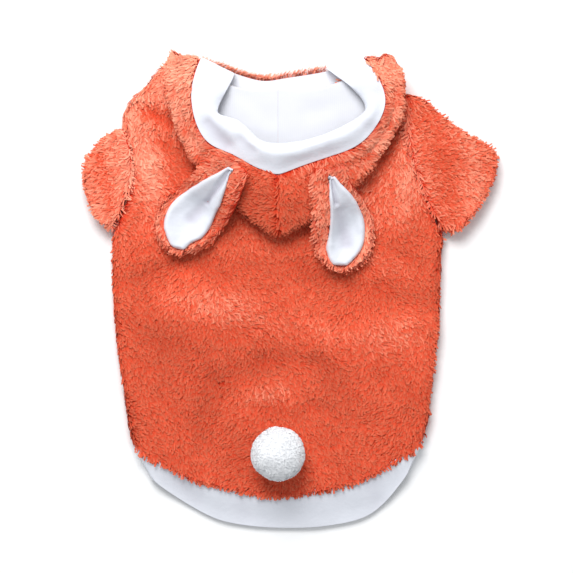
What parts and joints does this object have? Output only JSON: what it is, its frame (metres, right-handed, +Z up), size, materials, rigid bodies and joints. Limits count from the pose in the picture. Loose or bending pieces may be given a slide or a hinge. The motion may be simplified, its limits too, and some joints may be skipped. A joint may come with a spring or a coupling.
{
  "type": "dog costume",
  "caption": "Hooded plush costume for a small dog, with short sleeves, rabbit ears on the hood and a pompom tail, laid flat with its back up",
  "frame": {"origin": "centre of the laid-out garment's bounding box, at the height of the surface it lies on", "axes": "+Y from the tail to the neck, +X to the wearer's right, +Z up off the surface, out of the garment's back"},
  "size_m": [0.3073, 0.3583, 0.0505],
  "materials": {
    "coral_plush": "deep soft pile",
    "white_fleece": "short brushed nap",
    "white_jersey": "smooth fine knit"
  },
  "bodies": {
    "root": {"back_panel": "coral_plush", "belly_panel": "coral_plush", "hem_band_back": "white_fleece", "hem_band_belly": "white_fleece", "sleeve_left": "coral_plush", "sleeve_right": "coral_plush", "throat_lining": "white_jersey", "hood_left": "coral_plush", "hood_right": "coral_plush", "hood_lining_left": "white_jersey", "hood_lining_right": "white_jersey", "hood_band": "white_fleece", "ear_left_outer": "coral_plush", "ear_left_inner": "white_fleece", "ear_right_outer": "coral_plush", "ear_right_inner": "white_fleece", "tail_pompom": "white_fleece"}
  },
  "joints": []
}
